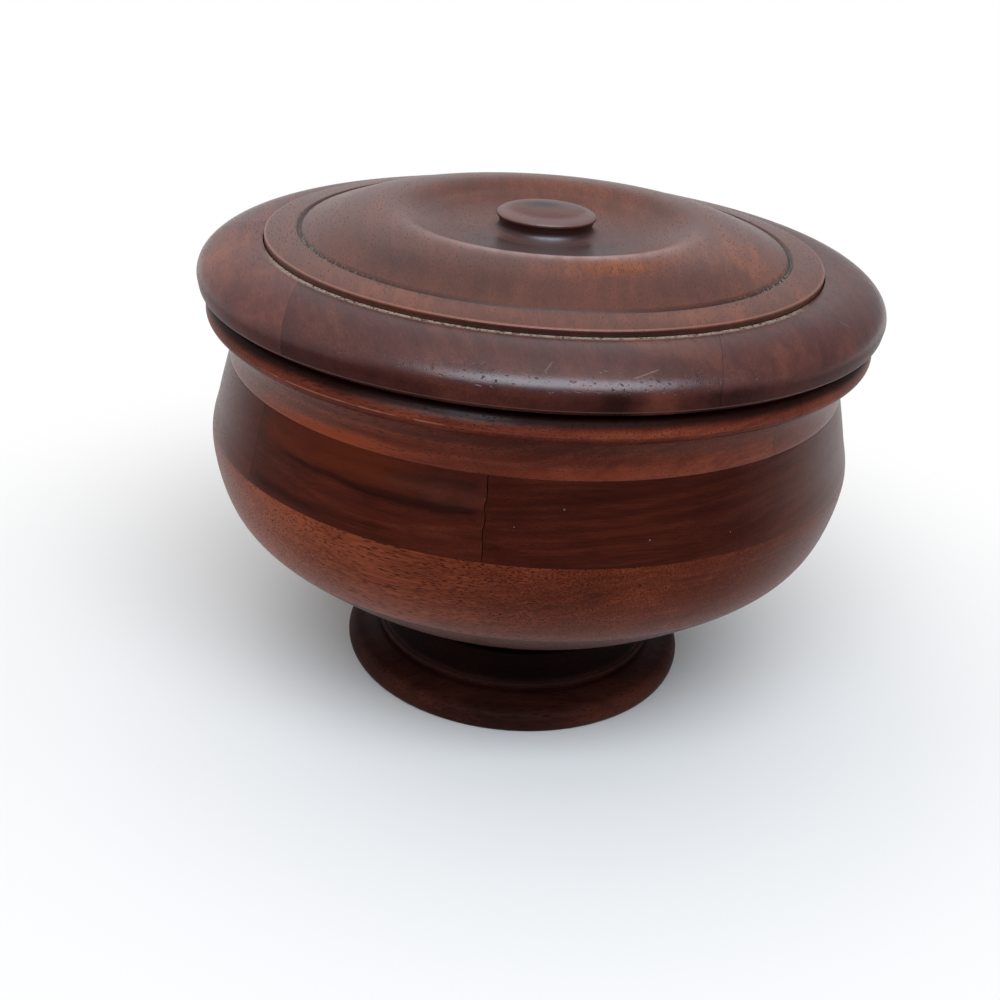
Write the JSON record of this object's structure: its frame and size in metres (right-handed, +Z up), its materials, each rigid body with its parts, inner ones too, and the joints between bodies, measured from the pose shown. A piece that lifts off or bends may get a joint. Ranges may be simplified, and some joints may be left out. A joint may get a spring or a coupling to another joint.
{
  "type": "lidded wooden pedestal bowl",
  "caption": "Turned hardwood bowl on a flared pedestal foot, built from stacked rings, with a lift-off lid that has a moulded rim, a domed panel and a button knob.",
  "frame": {"origin": "centre of the foot's flat sole, on the turning axis", "axes": "+Z up along the turning axis, -Y towards the viewer of the front, +X to the viewer's right"},
  "size_m": [0.2562, 0.2562, 0.189],
  "materials": {
    "foot_wood": "dark red-brown hardwood, satin varnish",
    "bottom_disc_wood": "red-brown hardwood, satin varnish",
    "lower_ring_wood": "orange-brown open-pored hardwood, satin varnish",
    "middle_ring_wood": "dark red-brown figured hardwood, satin varnish",
    "upper_ring_wood": "red-brown open-pored hardwood, satin varnish",
    "lid_rim_wood": "dark red-brown hardwood, satin varnish",
    "lid_panel_wood": "red-brown open-pored hardwood, satin varnish",
    "lid_knob_wood": "red-brown hardwood, satin varnish"
  },
  "bodies": {
    "bowl": {"foot": "foot_wood", "bottom_disc": "bottom_disc_wood", "lower_ring": "lower_ring_wood", "middle_ring_segment_1": "middle_ring_wood", "middle_ring_segment_2": "middle_ring_wood", "middle_ring_segment_3": "middle_ring_wood", "middle_ring_segment_4": "middle_ring_wood", "middle_ring_segment_5": "middle_ring_wood", "middle_ring_segment_6": "middle_ring_wood", "middle_ring_segment_7": "middle_ring_wood", "middle_ring_segment_8": "middle_ring_wood", "upper_ring_segment_1": "upper_ring_wood", "upper_ring_segment_2": "upper_ring_wood"},
    "lid": {"lid_rim_segment_1": "lid_rim_wood", "lid_rim_segment_2": "lid_rim_wood", "lid_rim_segment_3": "lid_rim_wood", "lid_rim_segment_4": "lid_rim_wood", "lid_rim_segment_5": "lid_rim_wood", "lid_panel": "lid_panel_wood", "lid_knob": "lid_knob_wood"}
  },
  "joints": [
    {"name": "lid_lift", "type": "slide", "parent": "bowl", "child": "lid", "axis": [0, 0, 1], "range_m": [0, 0.12]}
  ]
}
